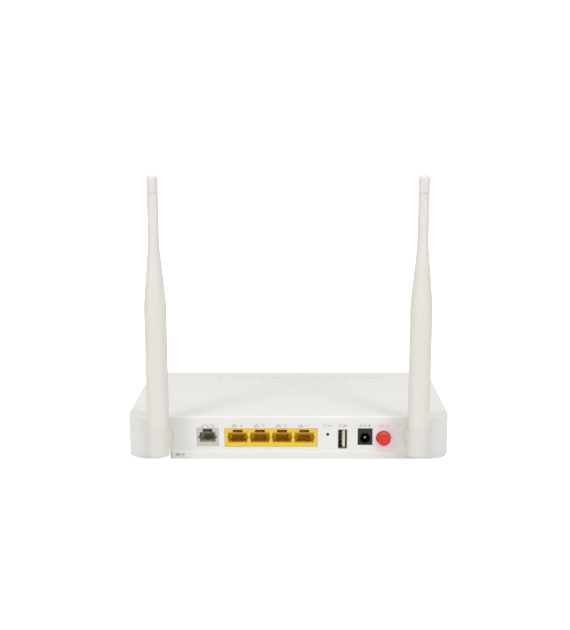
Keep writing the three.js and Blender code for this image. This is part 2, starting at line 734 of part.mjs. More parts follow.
function antenna(side, sign) {
  const pivot = new THREE.Group();
  pivot.position.set(sign * PIVOT_X, 0, PIVOT_Z);
  unit.add(pivot);
  const onAxis = [0, AXIS_Y, 0];
  add(`antenna_${side}_base`, antennaBase(), MATERIALS.antenna, [0, 0, 0], pivot);
  add(`antenna_${side}_retainer`, retainer, MATERIALS.steel, [0, 0, 0], pivot);
  add(`antenna_${side}_sleeve`, antennaSleeve(), MATERIALS.antenna, onAxis, pivot);
  add(`antenna_${side}_tip`, antennaTip(), MATERIALS.antenna, onAxis, pivot);
  add(`antenna_${side}_radiator`, radiator, MATERIALS.gold, onAxis, pivot);
  add(`antenna_${side}_coax`, coax, MATERIALS.blackPlastic, [0, 0, 0], pivot);

  // Lead from the pivot to its plug on the board, fixed in the casing.
  const board = BOARD_TOP + GAP - PIVOT_Z;
  const inward = -sign * 14;
  const lead = joined(
    tube(
      [
        [0, SPIGOT_END + GAP, 0],
        [0, SPIGOT_END + 4, 0],
        [inward * 0.45, SPIGOT_END + 10, 0.8],
        [inward * 0.95, SPIGOT_END + 13.5, -1.5],
        [inward, SPIGOT_END + 14, board + 3.5],
        [inward, SPIGOT_END + 14, board + 0.5],
      ],
      0.7,
      14,
    ),
    rodZ(1.4, [board, board + 1.6], inward, SPIGOT_END + 14, 12),
  );
  add(`antenna_${side}_lead`, lead, MATERIALS.blackPlastic, [0, 0, 0], pivot);
}
antenna("left", -1);
antenna("right", 1);

const terminal = new THREE.Group();
terminal.name = "optical_network_terminal";
terminal.add(unit);

export default terminal;
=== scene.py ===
"""Looks of the optical network terminal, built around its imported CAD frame.

Lengths are in millimetres in "unit" coordinates: x to the right as seen from the sockets, y forward from the
rear wall's outer face and z up from the casing's bottom. place() turns them into the frame's metres.
"""

import math

import bmesh
import bpy
from mathutils import Matrix, Vector


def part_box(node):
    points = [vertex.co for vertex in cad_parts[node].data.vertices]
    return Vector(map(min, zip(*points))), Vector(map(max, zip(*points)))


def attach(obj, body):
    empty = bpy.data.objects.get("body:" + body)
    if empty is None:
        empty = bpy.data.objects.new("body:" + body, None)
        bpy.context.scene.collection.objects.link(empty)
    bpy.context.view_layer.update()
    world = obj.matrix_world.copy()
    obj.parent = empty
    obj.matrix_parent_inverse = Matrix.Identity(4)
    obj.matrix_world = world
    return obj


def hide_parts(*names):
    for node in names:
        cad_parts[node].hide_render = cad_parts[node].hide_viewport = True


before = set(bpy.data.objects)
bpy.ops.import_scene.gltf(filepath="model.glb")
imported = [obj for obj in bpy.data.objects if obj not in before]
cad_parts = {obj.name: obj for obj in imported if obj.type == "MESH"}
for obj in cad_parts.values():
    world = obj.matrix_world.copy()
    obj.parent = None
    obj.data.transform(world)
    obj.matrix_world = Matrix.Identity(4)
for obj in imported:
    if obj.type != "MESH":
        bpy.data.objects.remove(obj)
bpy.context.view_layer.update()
scene = bpy.context.scene

# ------------------------------------------------------------------ sizes, from the frame

MM = 0.001
casing_lo, casing_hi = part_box("bottom_casing")
cover_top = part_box("top_cover")[1][2]
REAR = casing_lo[1] / MM
BASE = casing_lo[2] / MM
WIDTH = (casing_hi[0] - casing_lo[0]) / MM
DEPTH = (casing_hi[1] - casing_lo[1]) / MM
TOP = cover_top / MM - BASE


def local_box(node):
    """A CAD node's corners in unit coordinates."""
    lo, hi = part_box(node)
    move = Vector((0, REAR, BASE))
    return Vector(lo) / MM - move, Vector(hi) / MM - move


def middle(node):
    lo, hi = local_box(node)
    return (lo + hi) / 2


CORNER = 13  # radius of the casing's upright corners
EDGE = 1.0  # rounding of the cover's top edge
FOOT_EDGE = 0.5  # rounding of the casing's bottom edge
WALL = 2.2
FLOOR = 2.0
SEAM = 23.2  # height of the seam between casing and cover
SEAM_GAP = 0.03
SEAM_LIP = 0.05
PANEL_HALF = 76  # the socket panel reaches this far to each side
PANEL_RECESS = 0.6
PANEL_TOP_RECESS = 0.22
LEDGE_TOP = 4.9
CROWN = 0.25  # how much the cover rises towards its middle
CROWN_REACH = 66  # how far from the edge it goes on rising
SOCKET_FACE = local_box("lan_jack_block")[0].y


def place(x, y, z):
    return Vector((x, y + REAR, z + BASE)) * MM


# ------------------------------------------------------------------ materials


def ramp(nodes, stops):
    node = nodes.new("ShaderNodeValToRGB")
    elements = node.color_ramp.elements
    while len(elements) < len(stops):
        elements.new(0.5)
    for element, (position, color) in zip(elements, stops):
        element.position = position
        element.color = (*color, 1)
    return node


def noise(nodes, links, coords, scale, detail):
    node = nodes.new("ShaderNodeTexNoise")
    node.inputs["Scale"].default_value = scale
    node.inputs["Detail"].default_value = detail
    links.new(coords, node.inputs["Vector"])
    return node


ROUGH_SPREAD = 0.06  # how far a finish's roughness varies to each side


def shade(color, factor):
    return tuple(min(1.0, c * factor) for c in color)


def surface(
    name,
    color,
    rough=0.5,
    metallic=0.0,
    grain_mm=0.25,
    grain=0.05,
    mottle_mm=9.0,
    mottle=0.02,
    specular=0.5,
    coat=0.0,
    stretch=None,
):
    """A procedural finish: moulded grain as bump, slow colour mottle and varied roughness."""
    material = bpy.data.materials.new(name)
    material.use_nodes = True
    nodes, links = material.node_tree.nodes, material.node_tree.links
    shader = nodes["Principled BSDF"]
    shader.inputs["Metallic"].default_value = metallic
    shader.inputs["Specular IOR Level"].default_value = specular
    shader.inputs["Coat Weight"].default_value = coat

    coords = nodes.new("ShaderNodeTexCoord").outputs["Object"]
    if stretch:
        mapping = nodes.new("ShaderNodeMapping")
        mapping.inputs["Scale"].default_value = stretch
        links.new(coords, mapping.inputs["Vector"])
        coords = mapping.outputs["Vector"]

    slow = noise(nodes, links, coords, 1000 / mottle_mm, 3)
    tint = ramp(nodes, [(0.3, shade(color, 1 - mottle)), (0.7, shade(color, 1 + mottle))])
    links.new(slow.outputs["Fac"], tint.inputs["Fac"])
    links.new(tint.outputs["Color"], shader.inputs["Base Color"])

    fine = noise(nodes, links, coords, 1000 / grain_mm, 2)
    spread = nodes.new("ShaderNodeMapRange")
    spread.inputs["To Min"].default_value = max(0.02, rough - ROUGH_SPREAD)
    spread.inputs["To Max"].default_value = min(1.0, rough + ROUGH_SPREAD)
    links.new(fine.outputs["Fac"], spread.inputs["Value"])
    links.new(spread.outputs["Result"], shader.inputs["Roughness"])

    bump = nodes.new("ShaderNodeBump")
    bump.inputs["Strength"].default_value = grain
    bump.inputs["Distance"].default_value = grain_mm * MM * 0.2
    links.new(fine.outputs["Fac"], bump.inputs["Height"])
    links.new(bump.outputs["Normal"], shader.inputs["Normal"])
    return material


CASING = surface("casing_plastic", (0.84, 0.835, 0.815), 0.5, grain_mm=0.3, grain=0.25, mottle=0.006)
ANTENNA = surface("antenna_plastic", (0.80, 0.775, 0.725), 0.42, grain_mm=0.4, grain=0.12, mottle=0.008)
ANTENNA_BASE = surface(
    "antenna_base_plastic", (0.77, 0.75, 0.71), 0.45, grain_mm=0.4, grain=0.12, mottle=0.008
)
YELLOW = surface("yellow_plastic", (0.86, 0.58, 0.035), 0.42, grain_mm=0.2, grain=0.15, mottle=0.02)
GREY = surface("grey_plastic", (0.60, 0.57, 0.49), 0.45, grain_mm=0.2, grain=0.15, mottle=0.02)
BLACK = surface("black_plastic", (0.013, 0.0115, 0.0105), 0.5, grain_mm=0.2, grain=0.2, mottle=0.08)
RED = surface("red_plastic", (0.74, 0.022, 0.02), 0.32, grain_mm=0.5, grain=0.04, mottle=0.02, specular=0.4)
PALE = surface("pale_plastic", (0.72, 0.70, 0.60), 0.45, grain_mm=0.2, grain=0.1, mottle=0.02)
GREEN = surface("green_plastic", (0.04, 0.30, 0.10), 0.4, grain_mm=0.2, grain=0.15, mottle=0.04)
RUBBER = surface("foot_rubber", (0.24, 0.24, 0.23), 0.8, grain_mm=0.15, grain=0.5, mottle=0.08, specular=0.3)
STEEL = surface(
    "plated_steel", (0.56, 0.55, 0.52), 0.32, 1.0, grain_mm=0.3, grain=0.15, mottle=0.05, stretch=(1, 0.08, 1)
)
GOLD = surface("gold_plate", (0.78, 0.49, 0.16), 0.28, 1.0, grain_mm=0.1, grain=0.1, mottle=0.08)
BRONZE = surface("bronze_spring", (0.36, 0.26, 0.16), 0.45, 0.6, grain_mm=0.2, grain=0.2, mottle=0.12)
NICKEL = surface("nickel_sleeve", (0.40, 0.34, 0.29), 0.38, 0.9, grain_mm=0.2, grain=0.15, mottle=0.1)
BRASS = surface(
    "brass", (0.70, 0.50, 0.20), 0.35, 1.0, grain_mm=0.2, grain=0.15, mottle=0.06, stretch=(1, 1, 0.1)
)
ALUMINIUM = surface(
    "aluminium", (0.60, 0.61, 0.62), 0.4, 1.0, grain_mm=0.2, grain=0.2, mottle=0.04, stretch=(1, 0.1, 1)
)
CERAMIC = surface("ceramic", (0.86, 0.86, 0.82), 0.15, grain_mm=0.3, grain=0.02, mottle=0.01, coat=0.3)
BOARD = surface("solder_mask", (0.015, 0.13, 0.05), 0.35, grain_mm=1.2, grain=0.6, mottle_mm=2.5, mottle=0.35)
CHIP = surface("chip_package", (0.022, 0.022, 0.024), 0.55, grain_mm=0.12, grain=0.5, mottle=0.15)
CAPACITOR = surface("capacitor_sleeve", (0.03, 0.04, 0.10), 0.3, grain_mm=0.4, grain=0.1, mottle=0.06)
CLEAR = surface("light_guide", (0.76, 0.80, 0.81), 0.2, grain_mm=0.4, grain=0.05, mottle=0.03, coat=0.3)
CABLE = surface("cable_jacket", (0.03, 0.03, 0.03), 0.55, grain_mm=0.2, grain=0.2, mottle=0.1)
LABEL = surface("label_film", (0.86, 0.86, 0.84), 0.4, grain_mm=0.6, grain=0.05, mottle=0.01)
INK = surface("grey_ink", (0.44, 0.44, 0.43), 0.6, grain_mm=0.15, grain=0.1, mottle=0.06)
DARK_INK = surface("dark_ink", (0.16, 0.16, 0.16), 0.6, grain_mm=0.15, grain=0.1, mottle=0.06)

# ------------------------------------------------------------------ mesh helpers


def finished(name, bm, material, body="casing", nodes=(), smooth=35, bevel=0.0, segments=2):
    """Turns a bmesh in unit coordinates into a piece that rides on a body."""
    bmesh.ops.recalc_face_normals(bm, faces=bm.faces)
    for vertex in bm.verts:
        vertex.co = place(*vertex.co)
    mesh = bpy.data.meshes.new(name)
    bm.to_mesh(mesh)
    bm.free()
    mesh.materials.append(material)
    mesh.shade_smooth()
    piece = bpy.data.objects.new(name, mesh)
    scene.collection.objects.link(piece)
    if bevel:
        edge = piece.modifiers.new("edges", "BEVEL")
        edge.width = bevel * MM
        edge.segments = segments
        edge.limit_method = "ANGLE"
        edge.angle_limit = math.radians(35)
        edge.miter_outer = "MITER_ARC"
        piece.modifiers.new("normals", "WEIGHTED_NORMAL")
    else:
        mesh.set_sharp_from_angle(angle=math.radians(smooth))
    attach(piece, body)
    if nodes:
        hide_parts(*nodes)
    return piece


def join_rings(rings):
    """Skins a list of closed rings of points, and caps both ends."""
    bm = bmesh.new()
    made = [[bm.verts.new(point) for point in ring] for ring in rings]
    for low, high in zip(made, made[1:]):
        count = len(low)
        for i in range(count):
            j = (i + 1) % count
            bm.faces.new((low[i], low[j], high[j], high[i]))
    bm.faces.new(list(reversed(made[0])))
    bm.faces.new(made[-1])
    return bm


def rounded_ring(inset, z):
    """The casing's outline in plan, moved inwards by inset, at height z."""
    steps = 10
    radius = max(0.4, CORNER - inset)
    half_w, half_d = WIDTH / 2 - inset - radius, DEPTH / 2 - inset - radius
    ring = []
    for quarter, (sx, sy) in enumerate(((1, 1), (-1, 1), (-1, -1), (1, -1))):
        for i in range(steps + 1):
            angle = math.pi / 2 * (quarter + i / steps)
            x = sx * half_w + radius * math.cos(angle)
            y = DEPTH / 2 + sy * half_d + radius * math.sin(angle)
            ring.append(Vector((x, y, z)))
    return ring


def fillet(radius, steps=4):
    """(inset, rise) pairs of a quarter round, from the flat face to the side."""
    turns = [math.pi / 2 * i / steps for i in range(steps + 1)]
    return [(radius * (1 - math.sin(a)), radius * (1 - math.cos(a))) for a in turns]


def turned(profile, steps=48, axis="Z", centre=(0, 0, 0), closed=False):
    """Turns (radius, height) pairs about an axis through centre. A profile closes where it meets the axis."""
    bm = bmesh.new()
    toward = {"X": Vector((1, 0, 0)), "Y": Vector((0, 1, 0)), "Z": Vector((0, 0, 1))}[axis]
    across = {"X": Vector((0, 1, 0)), "Y": Vector((0, 0, 1)), "Z": Vector((1, 0, 0))}[axis]
    other = toward.cross(across)
    rings = []
    for radius, height in profile:
        origin = Vector(centre) + toward * height
        if radius < 1e-6:
            rings.append([bm.verts.new(origin)])
            continue
        angles = [2 * math.pi * i / steps for i in range(steps)]
        spokes = [across * math.cos(a) + other * math.sin(a) for a in angles]
        rings.append([bm.verts.new(origin + spoke * radius) for spoke in spokes])
    pairs = list(zip(rings, rings[1:]))
    if closed:
        pairs.append((rings[-1], rings[0]))
    for low, high in pairs:
        for i in range(steps):
            j = (i + 1) % steps
            if len(low) == 1 and len(high) == 1:
                continue
            if len(low) == 1:
                bm.faces.new((low[0], high[j], high[i]))
            elif len(high) == 1:
                bm.faces.new((low[i], low[j], high[0]))
            else:
                bm.faces.new((low[i], low[j], high[j], high[i]))
    return bm


def block(x, y, z):
    """A box between pairs of limits."""
    bm = bmesh.new()
    size = Vector((x[1] - x[0], y[1] - y[0], z[1] - z[0]))
    centre = Vector((x[0] + x[1], y[0] + y[1], z[0] + z[1])) / 2
    bmesh.ops.create_cube(bm, size=1, matrix=Matrix.Translation(centre) @ Matrix.Diagonal((*size, 1)))
    return bm


def rod(radius, span, axis="Y", centre=(0, 0, 0), steps=40):
    return turned([(0, span[0]), (radius, span[0]), (radius, span[1]), (0, span[1])], steps, axis, centre)


def prism_y(points, y0, y1):
    """An outline in x and z, carried from y0 to y1."""
    return join_rings([[Vector((x, y, z)) for x, z in points] for y in (y0, y1)])


def prism_z(points, z0, z1):
    """An outline in x and y, carried from z0 to z1."""
    return join_rings([[Vector((x, y, z)) for x, y in points] for z in (z0, z1)])


def tube(path, radius):
    """A round wire along a list of points."""
    sides = 8
    points = [Vector(p) for p in path]
    rings = []
    for i, point in enumerate(points):
        ahead = points[min(i + 1, len(points) - 1)] - points[max(i - 1, 0)]
        ahead.normalize()
        side = ahead.cross(Vector((0.3, 1, 0.2))).normalized()
        if abs(ahead.y) > 0.9:
            side = ahead.cross(Vector((1, 0, 0))).normalized()
        up = side.cross(ahead)
        angles = [2 * math.pi * k / sides for k in range(sides)]
        rings.append([point + (side * math.cos(a) + up * math.sin(a)) * radius for a in angles])
    return join_rings(rings)


def merged(*parts):
    """Several bmeshes as one, left as they are."""
    whole = bmesh.new()
    for part in parts:
        mesh = bpy.data.meshes.new("part")
        part.to_mesh(mesh)
        part.free()
        whole.from_mesh(mesh)
        bpy.data.meshes.remove(mesh)
    return whole


def combined(body, tools, operation):
    """body joined to, or cut by, the tools."""
    objects = []
    for name, source in (("body", body), ("tools", merged(*tools))):
        bmesh.ops.recalc_face_normals(source, faces=source.faces)
        mesh = bpy.data.meshes.new(name)
        source.to_mesh(mesh)
        source.free()
        objects.append(bpy.data.objects.new(name, mesh))
        scene.collection.objects.link(objects[-1])
    change = objects[0].modifiers.new("change", "BOOLEAN")
    change.operation = operation
    change.solver = "EXACT"
    change.use_self = True
    change.object = objects[1]
    graph = bpy.context.evaluated_depsgraph_get()
    result = bpy.data.meshes.new_from_object(objects[0].evaluated_get(graph))
    bm = bmesh.new()
    bm.from_mesh(result)
    for thing in objects:
        mesh = thing.data
        bpy.data.objects.remove(thing)
        bpy.data.meshes.remove(mesh)
    bpy.data.meshes.remove(result)
    bmesh.ops.dissolve_limit(bm, angle_limit=math.radians(0.5), verts=bm.verts, edges=bm.edges)
    return bm


def cut(body, *tools):
    return combined(body, tools, "DIFFERENCE")


def joined(body, *tools):
    return combined(body, tools, "UNION")


# ------------------------------------------------------------------ casing and cover

lan_lo, lan_hi = local_box("lan_jack_block")
phone_lo, phone_hi = local_box("phone_jack")
usb_lo, usb_hi = local_box("usb_shell")
dc_lo, dc_hi = local_box("dc_jack_body")
button_middle = middle("power_button")
reset_middle = middle("reset_plunger")
pivot_x = middle("antenna_right_retainer").x
pivot_z = middle("antenna_right_retainer").z
adapter_lo, adapter_hi = local_box("fibre_adapter")

BAY_HALF = 6.85  # half the fibre bay's inner width
BAY_LEFT = middle("fibre_adapter").x - BAY_HALF
BAY_RIGHT = middle("fibre_adapter").x + BAY_HALF
BAY_WALL = 1.5
BAY_END = 46
NOTCH_LEFT = -81
NOTCH_TOP = 8
LAN_BOTTOM = 7.7
PHONE_BOTTOM = 8.1
DC_BOTTOM = 8.9
FIT = 0.12  # room between a socket and its window
BUTTON_HOLE = 4.65
BUTTON_RADIUS = 4.26
RESET_HOLE = 1.0
SPIGOT_BORE = 3.28
KEYHOLE_X = 50
VENT_ROWS = (30, 104)  # both rows of slots in the floor, by y
VENTS = range(-44, 45, 8)
SCREW_BOSS, SCREW_BORE, SCREW_HEAD = 4.2, 1.8, 3
FOOT_RECESS = 5.25
screw_places = [middle(f"screw_{i}") for i in (1, 2, 3, 4)]
foot_places = [middle(f"foot_{i}") for i in (1, 2, 3, 4)]
label_lo, label_hi = local_box("rating_label")


def tray():
    rim = SEAM - SEAM_GAP / 2
    rings = [rounded_ring(inset, rise) for inset, rise in fillet(FOOT_EDGE)]
    rings += [rounded_ring(0, rim - SEAM_LIP), rounded_ring(SEAM_LIP, rim)]
    rings += [rounded_ring(WALL, rim), rounded_ring(WALL, FLOOR)]
    return join_rings(rings)


def panel_depth(z):
    """How far the socket panel is set back, by height: it slopes out a little towards its top."""
    return PANEL_RECESS + (PANEL_TOP_RECESS - PANEL_RECESS) * (z - LEDGE_TOP) / (SEAM - LEDGE_TOP)


def panel():
    """The recess round the sockets. Its foot is the slanted top of the ledge."""
    high = SEAM + 2
    profile = [(-2, LEDGE_TOP - PANEL_RECESS - 2), (PANEL_RECESS, LEDGE_TOP)]
    profile += [(panel_depth(high), high), (-2, high)]
    rings = [[Vector((x, y, z)) for y, z in profile] for x in (-PANEL_HALF, PANEL_HALF)]
    return join_rings(rings)


def window(lo_x, hi_x, lo_z, hi_z):
    return block((lo_x - FIT, hi_x + FIT), (-2, WALL + 1), (lo_z - FIT, hi_z + FIT))


def notch():
    """The way out for the fibre: both its sides turn inwards with a round corner."""
    turn = 2
    arcs = [math.pi / 2 * i / 8 for i in range(9)]
    right = [(BAY_RIGHT + turn - turn * math.sin(a), turn - turn * math.cos(a)) for a in arcs]
    left = [(NOTCH_LEFT - turn + turn * math.sin(a), turn - turn * math.cos(a)) for a in reversed(arcs)]
    mouth = [(NOTCH_LEFT - turn, -2), (BAY_RIGHT + turn, -2)]
    return prism_z(mouth + right + [(BAY_RIGHT, turn + 1.5), (NOTCH_LEFT, turn + 1.5)] + left, -2, NOTCH_TOP)


def slot_outline(x, y, radius, half):
    """A round-ended slot along y."""
    turns = [math.pi * i / 8 for i in range(9)]
    far = [(x + radius * math.cos(a), y + half + radius * math.sin(a)) for a in turns]
    near = [(x - radius * math.cos(a), y - half - radius * math.sin(a)) for a in turns]
    return far + near


def keyhole(x):
    head, slot, reach = 3.9, 2.1, 8
    y = middle("rating_label").y + 16
    end = [(slot * math.cos(a), reach + slot * math.sin(a)) for a in [math.pi * i / 10 for i in range(11)]]
    start = math.asin(slot / head)
    turns = [math.pi / 2 + start + (2 * math.pi - 2 * start) * i / 28 for i in range(29)]
    points = end + [(head * math.cos(a), head * math.sin(a)) for a in turns]
    return prism_z([(x + px, y + py) for px, py in points], -2, FLOOR + 1)


def build_casing():
    bosses = [rod(SCREW_BOSS, (FLOOR / 2, 12), "Z", (p.x, p.y, 0), 24) for p in screw_places]
    through_wall, through_floor = (-2, WALL + 1), (-2, FLOOR + 1)
    bay_x = (BAY_LEFT - BAY_WALL - 0.1, BAY_RIGHT + BAY_WALL + 0.1)
    tools = [
        panel(),
        window(lan_lo.x, lan_hi.x, LAN_BOTTOM, lan_hi.z),
        window(phone_lo.x, phone_hi.x, PHONE_BOTTOM, phone_hi.z),
        window(usb_lo.x, usb_hi.x, usb_lo.z, usb_hi.z),
        window(dc_lo.x, dc_hi.x, DC_BOTTOM, dc_hi.z),
        rod(BUTTON_HOLE, through_wall, "Y", (button_middle.x - 0.1, 0, button_middle.z), 48),
        rod(RESET_HOLE, through_wall, "Y", (reset_middle.x, 0, reset_middle.z), 24),
        rod(SPIGOT_BORE, through_wall, "Y", (-pivot_x, 0, pivot_z), 32),
        rod(SPIGOT_BORE, through_wall, "Y", (pivot_x, 0, pivot_z), 32),
        notch(),
        block(bay_x, (WALL + 0.2, BAY_END + BAY_WALL + 0.1), through_floor),
        block((label_lo.x - 0.6, label_hi.x + 0.6), (label_lo.y - 0.6, label_hi.y + 0.6), (-2, 0.45)),
        keyhole(-KEYHOLE_X),
        keyhole(KEYHOLE_X),
    ]
    for y in VENT_ROWS:
        tools += [prism_z(slot_outline(x, y, 1, 7), *through_floor) for x in VENTS]
    for p in screw_places:
        tools.append(rod(SCREW_BORE, (-2, 13), "Z", (p.x, p.y, 0), 20))
        tools.append(rod(SCREW_HEAD, (-2, 3), "Z", (p.x, p.y, 0), 28))
    tools += [rod(FOOT_RECESS, (-2, 0.75), "Z", (p.x, p.y, 0), 36) for p in foot_places]
    body = cut(joined(tray(), *bosses), *tools)
    finished("casing_tray", body, CASING, nodes=["bottom_casing"], bevel=0.18)


def build_bay():
    low, high, step, front = 8.4, 12.3, 9, WALL + 0.3
    inside, outside = (BAY_LEFT, BAY_RIGHT), (BAY_LEFT - BAY_WALL, BAY_RIGHT + BAY_WALL)
    body = joined(
        block(outside, (front, step + 3), (0.02, low + BAY_WALL)),
        block(outside, (step - BAY_WALL, BAY_END + BAY_WALL), (0.02, high + BAY_WALL)),
    )
    tools = [
        block(inside, (0, step + 1), (-1, low)),
        block(inside, (step, BAY_END), (-1, high)),
        block(
            (adapter_lo.x - 0.2, adapter_hi.x + 0.2),
            (BAY_END - 1, BAY_END + BAY_WALL + 1),
            (adapter_lo.z - 0.2, adapter_hi.z + 0.2),
        ),
    ]
    finished("fibre_bay_tray", cut(body, *tools), CASING, nodes=["fibre_bay"], bevel=0.15)


def cover_height(inset):
    """Height of the slightly crowned top, by distance from the casing's edge."""
    return TOP - CROWN + CROWN * math.sin(min(1, inset / CROWN_REACH) * math.pi / 2)


def build_cover():
    low = SEAM + SEAM_GAP / 2
    tongue_outer, tongue_inner, tongue_low = WALL + 0.3, WALL + 1.5, low - 2
    rings = [rounded_ring(tongue_inner, TOP - FLOOR - CROWN), rounded_ring(tongue_inner, tongue_low)]
    rings += [rounded_ring(tongue_outer, tongue_low), rounded_ring(tongue_outer, low)]
    rings += [rounded_ring(SEAM_LIP, low), rounded_ring(0, low + SEAM_LIP)]
    rings += [rounded_ring(inset, TOP - CROWN - rise) for inset, rise in reversed(fillet(EDGE, 5))]
    rings += [rounded_ring(inset, cover_height(inset)) for inset in (4, 9, 16, 26, 38, 50, 60, CROWN_REACH)]
    cover = join_rings(rings)
    finished("cover_shell", cover, CASING, nodes=["top_cover"], smooth=40)


build_casing()
build_bay()
build_cover()

# ------------------------------------------------------------------ antennas

ANTENNA_RADIUS = 6.8
BASE_DROP = 0.9  # how much lower the base is drawn than its CAD node
NECK_RADIUS = 3.28
HUB_RADIUS = 7.5
SPIGOT_RADIUS = 3.2
SPIGOT_END = 7


def sleeve_profile(low, high):
    """Straight for half its length, a long taper with soft ends, and a thin neck."""
    taper = [(6.8, 96), (6.76, 98.5), (6.62, 101), (6.4, 103.5)]
    taper += [(3.9, 130), (3.67, 132.5), (3.48, 135), (3.36, 138)]
    outside = [(ANTENNA_RADIUS - 0.08, low), (ANTENNA_RADIUS, low + 0.08), (ANTENNA_RADIUS, 60), *taper]
    outside += [(NECK_RADIUS, 141), (NECK_RADIUS, high - 0.12), (NECK_RADIUS - 0.12, high)]
    inside = [(1.8, high), (1.8, 104), (4.4, 95), (4.4, low)]
    return outside + inside


def tip_profile(low, start, high):
    radius, dome = NECK_RADIUS, 2.7
    profile = [(0, low), (1.5, low), (1.5, start + 0.1), (radius - 0.2, start + 0.1), (radius, start + 0.3)]
    for i in range(8):
        angle = math.pi / 2 * i / 8
        profile.append((radius * math.cos(angle), high - dome + dome * math.sin(angle)))
    return profile + [(0, high)]


def post_profile(low, high):
    """The base's upright part: a round foot, and a neck that fits in the sleeve."""
    turn = 2.2
    profile = [(0, low)]
    for i in range(8):
        angle = math.pi / 2 * i / 7
        profile.append((ANTENNA_RADIUS - turn + turn * math.sin(angle), low + turn - turn * math.cos(angle)))
    profile += [(ANTENNA_RADIUS, high - 0.08), (ANTENNA_RADIUS - 0.08, high), (4, high)]
    return profile + [(4, high + 4), (0, high + 4)]


def hub_profile(axis_y):
    """The pivot between base and wall: a domed shoulder round the base, then the spigot through the wall."""
    shoulder = 4.5
    start = axis_y + 1
    profile = [(0, start), (5.2, start)]
    for i in range(1, 9):
        angle = math.pi / 2 * i / 8
        profile.append((5.2 + (HUB_RADIUS - 5.2) * math.sin(angle), start + shoulder * (1 - math.cos(angle))))
    profile += [(HUB_RADIUS, -0.45), (HUB_RADIUS - 0.2, -0.25), (SPIGOT_RADIUS, -0.25)]
    return profile + [(SPIGOT_RADIUS, SPIGOT_END - 0.4), (SPIGOT_RADIUS - 0.4, SPIGOT_END), (0, SPIGOT_END)]


def build_antenna(side):
    body = f"antenna_{side}"
    sleeve_lo, sleeve_hi = local_box(f"{body}_sleeve")
    tip_lo, tip_hi = local_box(f"{body}_tip")
    base_lo = local_box(f"{body}_base")[0]
    axis = middle(f"{body}_sleeve")
    centre = (axis.x, axis.y, 0)

    sleeve = turned(sleeve_profile(sleeve_lo.z, sleeve_hi.z), 64, "Z", centre, closed=True)
    finished(f"{body}_sleeve_skin", sleeve, ANTENNA, body, [f"{body}_sleeve"])
    tip = turned(tip_profile(tip_lo.z, sleeve_hi.z, tip_hi.z), 64, "Z", centre)
    finished(f"{body}_tip_cap", tip, ANTENNA, body, [f"{body}_tip"])

    post = turned(post_profile(base_lo.z - BASE_DROP, sleeve_lo.z - 0.04), 64, "Z", centre)
    hub = turned(hub_profile(axis.y), 64, "Y", (axis.x, 0, pivot_z))
    base = joined(post, hub)
    finished(f"{body}_pivot_base", base, ANTENNA_BASE, body, [f"{body}_base"], bevel=0.2)


build_antenna("left")
build_antenna("right")

# ------------------------------------------------------------------ sockets


def plug_outline(x, bottom, top, half, ear_half, latch_half, latch_top):
    """Front outline of a modular plug's way in: plug body, side ears, latch slot on top."""
    ear_low, ear_high = bottom + (top - bottom) * 0.35, bottom + (top - bottom) * 0.68
    right = [(half, bottom), (half, ear_low), (ear_half, ear_low), (ear_half, ear_high), (half, ear_high)]
    right += [(half, top), (latch_half, top), (latch_half, latch_top)]
    return [(x + px, z) for px, z in right] + [(x - px, z) for px, z in reversed(right)]


def housing(lo, hi, front_bottom):
    collar = block((lo.x, hi.x), (SOCKET_FACE, WALL + 1.5), (front_bottom, hi.z))
    return joined(block((lo.x, hi.x), (WALL + 0.3, hi.y), (lo.z, hi.z)), collar)


WIRE_RADIUS = 0.22
CONTACT_PITCH = 1.02


def contact_wires(x, floor, front, back, count, rise, pitch=CONTACT_PITCH):
    """Sprung wires that lie on the jack's floor near its mouth and rise to the insert at its back."""
    wires = []
    turns = [k / 8 for k in range(9)]
    for i in range(count):
        wx = x + (i - (count - 1) / 2) * pitch
        path = [(wx, front + (back - front) * t, floor + WIRE_RADIUS + rise * t**1.6) for t in turns]
        wires.append(tube(path, WIRE_RADIUS))
    return merged(*wires)


def comb_insert(x, half, floor, top, front, back, slots, slot_top):
    """The moulded insert at a jack's back, slotted for its contacts and lower than the cavity."""
    body = block((x - half, x + half), (front, back), (floor + 0.04, top))
    slits = []
    for i in range(slots):
        sx = x + (i - (slots - 1) / 2) * CONTACT_PITCH
        slits.append(block((sx - 0.32, sx + 0.32), (front - 1, back - 1), (floor - 1, slot_top)))
    return cut(body, *slits)


LAN_JACKS = [middle(f"lan_contacts_{i}").x for i in (1, 2, 3, 4)]


def build_lan():
    floor, top, half, depth, insert = 10.3, 16.8, 5.95, 14.5, 8
    cavities = [
        prism_y(plug_outline(x, floor, top, half, 6.45, 3.15, 18.6), SOCKET_FACE - 2, SOCKET_FACE + depth)
        for x in LAN_JACKS
    ]
    body = cut(housing(lan_lo, lan_hi, LAN_BOTTOM), *cavities)
    finished("lan_housing", body, YELLOW, nodes=["lan_jack_block"], bevel=0.16)
    for i, x in enumerate(LAN_JACKS, 1):
        comb = comb_insert(x, half - 0.05, floor, 15.2, insert, depth, 8, 13.6)
        finished(f"lan_comb_{i}", comb, YELLOW, bevel=0.06, segments=1)
        wires = contact_wires(x, floor, 1.8, 10, 8, 2.9)
        nodes = [f"lan_contacts_{i}"]
        finished(f"lan_spring_wires_{i}", wires, GOLD, nodes=nodes, smooth=60)


